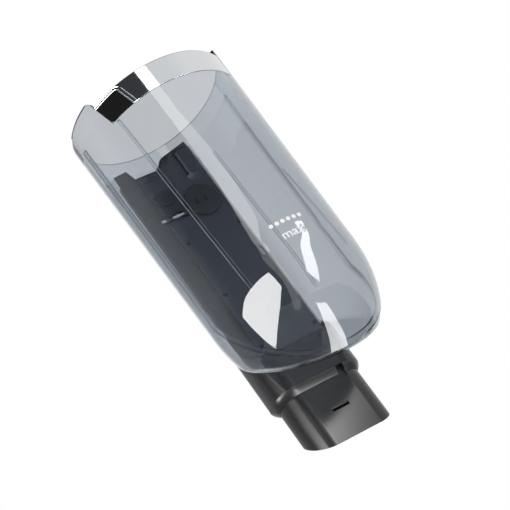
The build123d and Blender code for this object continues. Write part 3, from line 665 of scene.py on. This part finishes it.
# Blue-black ABS: half matt, with a faint bloom in patches of 4 mm.
navy, tree, shader = new_material("blue_black_abs")
where = add_node(tree, "ShaderNodeTexCoord")
cloud = add_node(tree, "ShaderNodeTexNoise", Vector=where.outputs["Object"], Scale=260.0,
                 Detail=3.0)
tone = add_node(tree, "ShaderNodeMix", COLOURS, Factor=cloud.outputs["Fac"],
                i6=linear("#20232b"), i7=linear("#252932"))
tree.links.new(tone.outputs[2], shader.inputs["Base Color"])
satin = add_node(tree, "ShaderNodeMapRange", Value=cloud.outputs["Fac"], To_Min=0.42, To_Max=0.5)
tree.links.new(satin.outputs["Result"], shader.inputs["Roughness"])
shader.inputs["Specular IOR Level"].default_value = 0.35
edge = add_node(tree, "ShaderNodeBevel", {"samples": 8}, Radius=MOULD_EDGE)
tree.links.new(edge.outputs["Normal"], shader.inputs["Normal"])
coat(navy, "duct_cover", "outlet_hood")

# Black ABS: a little glossier, with patches of 8 mm.
black, tree, shader = new_material("gloss_black_abs")
where = add_node(tree, "ShaderNodeTexCoord")
cloud = add_node(tree, "ShaderNodeTexNoise", Vector=where.outputs["Object"], Scale=120.0,
                 Detail=3.0)
shader.inputs["Base Color"].default_value = linear("#15171b")
satin = add_node(tree, "ShaderNodeMapRange", Value=cloud.outputs["Fac"], To_Min=0.36, To_Max=0.44)
tree.links.new(satin.outputs["Result"], shader.inputs["Roughness"])
shader.inputs["Specular IOR Level"].default_value = 0.35
coat(black, "service_plug", "outlet_flap")


# Ring seal of the plug, seal of the outlet and gasket of the neck: black rubber, moulded flat
# and held between the parts that they seal. Matt, with a greyish bloom in patches of 1.5 mm.
rubber, tree, shader = new_material("black_moulded_rubber")
where = add_node(tree, "ShaderNodeTexCoord")
bloom = add_node(tree, "ShaderNodeTexNoise", Vector=where.outputs["Object"], Scale=700.0,
                 Detail=4.0)
tone = add_node(tree, "ShaderNodeMix", COLOURS, Factor=bloom.outputs["Fac"],
                i6=linear("#1d1d1e"), i7=linear("#29292a"))
tree.links.new(tone.outputs[2], shader.inputs["Base Color"])
shader.inputs["Roughness"].default_value = 0.6
coat(rubber, "neck_gasket", "flap_seal", "plug_seal")


# Collar at the spigot's root: a ring of soft black TPE with a full, slightly shiny shoulder,
# moulded round the step below the neck and open at the small keyway.
NECK_END = -206.0                 # heights and lengths of the collar in mm
COLLAR_FOOT = -211.0
NECK_BOX = (33.2, 27.0, 61.0, 15.0)          # half width, front, back and rounding of the outline
SPIGOT_BOX = (29.6, 30.2, 57.2, 13.0)
COLLAR_PROUD = 0.6                # of the spigot, at the foot
COLLAR_BULGE = 0.5                # of a straight chamfer, at its middle
COLLAR_ROOM = 0.1                 # between the collar and the spigot
FOOT_ROUND = 0.25
FOOT_FLAT = 0.35
KEY_LEFT, KEY_RIGHT = 11.5, 17.0
SHOULDER_STEPS = 12
COLLAR_CREASE = 40                # degrees


def outline(box, grown=0.0, arc=18):
    """A rounded rectangle from the keyway's right side round to its left, and its outward ways.

    Each point is its corner's middle plus its direction times the rounding.
    """
    half, front, back, turn = box
    quarters = [np.linspace(start, start + 90, arc) for start in (-90, 0, 90, 180)]
    angle = np.concatenate([[-90.0], *quarters, [270.0]])
    east = np.repeat([1.0, 1.0, -1.0, -1.0], arc) * (half - turn)
    north = np.repeat([front + turn, back - turn, back - turn, front + turn], arc)
    east = np.concatenate([[KEY_RIGHT], east, [KEY_LEFT]])
    north = np.concatenate([[front + turn], north, [front + turn]])
    out = np.stack([np.cos(np.radians(angle)), np.sin(np.radians(angle))], 1)
    return np.stack([east, north], 1) + out * (turn + grown), out


# The shoulder runs straight from the neck's outline to the foot, plus a half sine outwards.
upper, out = outline(NECK_BOX)
lower, _ = outline(SPIGOT_BOX, COLLAR_PROUD)
inner, _ = outline(SPIGOT_BOX, COLLAR_ROOM)
share = np.linspace(0, 1, SHOULDER_STEPS)[:, None, None]
shoulder = upper + (lower - upper) * share + out * COLLAR_BULGE * np.sin(np.pi * share)
height = NECK_END + (COLLAR_FOOT - NECK_END) * share[:-1, 0, 0]
section = np.concatenate([shoulder, [inner + out * FOOT_FLAT], [inner], [inner]])
levels = np.concatenate([height, [COLLAR_FOOT + FOOT_ROUND, COLLAR_FOOT, COLLAR_FOOT, NECK_END]])
levels = np.broadcast_to(levels[:, None, None], (*section.shape[:2], 1))
rings = np.concatenate([section, levels], 2).transpose(1, 0, 2) * MM

# Soft TPE: black with a broad, soft shine, and a bloom in patches of 3 mm.
soft, tree, shader = new_material("soft_black_tpe")
where = add_node(tree, "ShaderNodeTexCoord")
bloom = add_node(tree, "ShaderNodeTexNoise", Vector=where.outputs["Object"], Scale=300.0,
                 Detail=2.0)
tone = add_node(tree, "ShaderNodeMix", COLOURS, Factor=bloom.outputs["Fac"],
                i6=linear("#1f1f20"), i7=linear("#252526"))
tree.links.new(tone.outputs[2], shader.inputs["Base Color"])
satin = add_node(tree, "ShaderNodeMapRange", Value=bloom.outputs["Fac"], To_Min=0.27, To_Max=0.31)
tree.links.new(satin.outputs["Result"], shader.inputs["Roughness"])
collar = add_piece("spigot_collar_soft", *skin(rings), soft, "bin")
finish_closed(collar, COLLAR_CREASE, "spigot_collar")


# Hinge pin and spring of the flap: stainless steel wire, drawn and cut, the spring wound round
# the pin. The screws of the cover and of the duct are steel with a black oxide film.

# Drawn steel: bright, with lines along the pin drawn 0.33 mm wide and 17 mm long so that
# they show.
DRAWN_LINES = (60.0, 3000.0, 3000.0)         # lines per metre along and across the pin
steel, tree, shader = new_material("drawn_stainless_steel")
shader.inputs["Metallic"].default_value = 1.0
where = add_node(tree, "ShaderNodeTexCoord")
stretched = add_node(tree, "ShaderNodeMapping", Vector=where.outputs["Object"],
                     Scale=DRAWN_LINES)
lines = add_node(tree, "ShaderNodeTexNoise", Vector=stretched.outputs["Vector"], Scale=1.0,
                 Detail=2.0)
tone = add_node(tree, "ShaderNodeMix", COLOURS, Factor=lines.outputs["Fac"],
                i6=linear("#a9aaac"), i7=linear("#c9cacc"))
tree.links.new(tone.outputs[2], shader.inputs["Base Color"])
worn = add_node(tree, "ShaderNodeMapRange", Value=lines.outputs["Fac"], To_Min=0.22, To_Max=0.38)
tree.links.new(worn.outputs["Result"], shader.inputs["Roughness"])
coat(steel, "flap_pin", "flap_spring")

# Black oxide film: dark, with a dull metal gloss and a grain of 0.65 mm.
oxide, tree, shader = new_material("black_oxide_steel")
shader.inputs["Base Color"].default_value = linear("#2a2b2d")
shader.inputs["Metallic"].default_value = 1.0
where = add_node(tree, "ShaderNodeTexCoord")
film = add_node(tree, "ShaderNodeTexNoise", Vector=where.outputs["Object"], Scale=1500.0,
                Detail=3.0)
worn = add_node(tree, "ShaderNodeMapRange", Value=film.outputs["Fac"], To_Min=0.35, To_Max=0.5)
tree.links.new(worn.outputs["Result"], shader.inputs["Roughness"])
coat(oxide, "cover_screws", "duct_screws")
